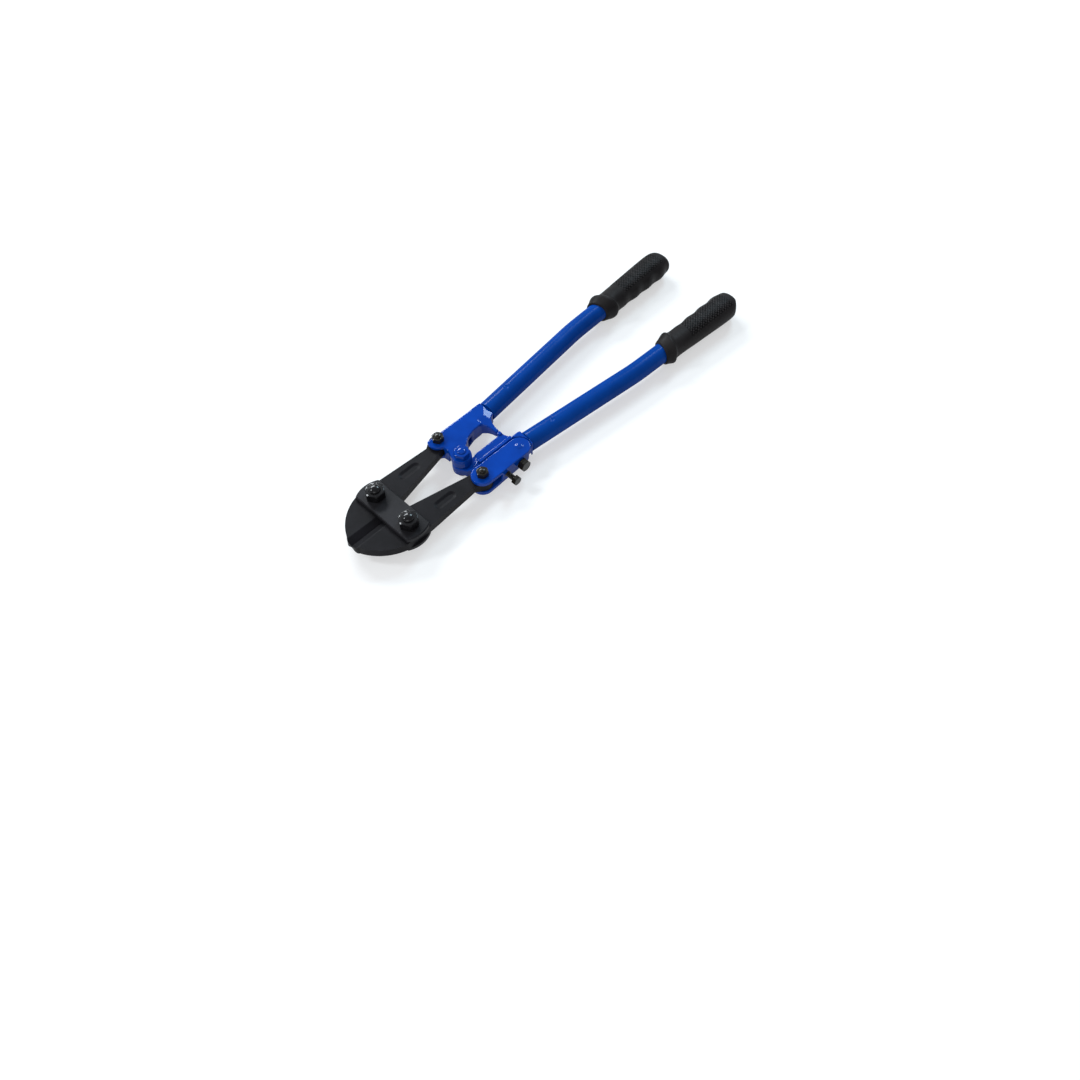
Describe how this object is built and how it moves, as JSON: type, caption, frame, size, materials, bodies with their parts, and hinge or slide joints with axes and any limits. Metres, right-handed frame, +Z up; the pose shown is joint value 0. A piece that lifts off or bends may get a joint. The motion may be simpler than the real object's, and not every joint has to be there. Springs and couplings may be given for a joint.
{
  "type": "bolt cutters",
  "caption": "Long-handled bolt cutters with a compound toggle head, bolted jaws, an adjusting lever and rubber grips, lying closed.",
  "frame": {"origin": "on the centre pivot bolt's axis, at the underside of its head, where the tool rests on a surface", "axes": "+X from the grips towards the jaws, +Y towards the handle with the adjusting lever, +Z up through the flat tool, towards the nuts"},
  "size_m": [0.4572, 0.1178, 0.0341],
  "materials": {
    "black_steel": "satin black oxide",
    "black_fasteners": "glossy black oxide",
    "blue_paint": "gloss enamel",
    "black_rubber": "matt, textured"
  },
  "bodies": {
    "head": {"side_plate_top": "black_steel", "side_plate_bottom": "black_steel", "jaw_bolt_left": "black_fasteners", "jaw_bolt_right": "black_fasteners", "jaw_nut_left": "black_fasteners", "jaw_nut_right": "black_fasteners"},
    "left_jaw": {"jaw_left": "black_steel"},
    "right_jaw": {"jaw_right": "black_steel"},
    "right_handle": {"plain_handle_forging": "blue_paint", "handle_tube_right": "blue_paint", "grip_right": "black_rubber", "tail_bolt_right": "black_fasteners", "tail_nut_right": "black_fasteners"},
    "lever": {"adjusting_lever": "blue_paint", "adjusting_lever_pin": "blue_paint", "tail_bolt_left": "black_fasteners", "tail_nut_left": "black_fasteners"},
    "left_handle": {"adjuster_handle_forging": "blue_paint", "handle_tube_left": "blue_paint", "grip_left": "black_rubber", "locking_nut": "black_fasteners"},
    "adjuster": {"adjusting_screw": "black_fasteners"},
    "lock": {"locking_screw": "black_fasteners"},
    "centre_pivot": {"centre_pivot_bolt": "blue_paint", "centre_pivot_nut": "blue_paint", "centre_pivot_washers": "blue_paint"}
  },
  "joints": [
    {"name": "left_jaw_turn", "type": "hinge", "parent": "head", "child": "left_jaw", "pos_m": [0.081, 0.0212, 0.0146], "axis": [0, 0, 1], "range_deg": [0, 5.2]},
    {"name": "right_jaw_turn", "type": "hinge", "parent": "head", "child": "right_jaw", "pos_m": [0.081, -0.0212, 0.0146], "axis": [0, 0, -1], "range_deg": [0, 5.2]},
    {"name": "right_handle_turn", "type": "hinge", "parent": "right_jaw", "child": "right_handle", "pos_m": [0.0022, -0.0284, 0.0146], "axis": [0, 0, 1], "range_deg": [0, 45]},
    {"name": "left_handle_turn", "type": "hinge", "parent": "left_jaw", "child": "lever", "pos_m": [0.0022, 0.0284, 0.0146], "axis": [0, 0, -1], "range_deg": [0, 45.1]},
    {"name": "centre_pivot_slide", "type": "slide", "parent": "head", "child": "centre_pivot", "axis": [-1, 0, 0], "range_m": [0, 0.019]},
    {"name": "lever_adjust", "type": "hinge", "parent": "lever", "child": "left_handle", "pos_m": [-0.0428, 0.0288, 0.0146], "axis": [0, 0, -1], "range_deg": [-0.5, 0.5]},
    {"name": "adjusting_screw_turn", "type": "hinge", "parent": "lever", "child": "adjuster", "pos_m": [-0.018, 0.0314, 0.0146], "axis": [0, -1, 0], "range_deg": [-80, 80]},
    {"name": "locking_screw_turn", "type": "hinge", "parent": "left_handle", "child": "lock", "pos_m": [-0.035, 0.022, 0.0146], "axis": [0, 1, 0], "range_deg": [0, 180]}
  ],
  "couplings": [
    {"joint": "left_jaw_turn", "follows": "right_handle_turn", "ratio": 0.11225},
    {"joint": "right_jaw_turn", "follows": "right_handle_turn", "ratio": 0.11225},
    {"joint": "left_handle_turn", "follows": "right_handle_turn", "ratio": 1},
    {"joint": "centre_pivot_slide", "follows": "right_handle_turn", "m_per_rad": 0.023626},
    {"joint": "adjusting_screw_turn", "follows": "lever_adjust", "ratio": 155.8}
  ]
}
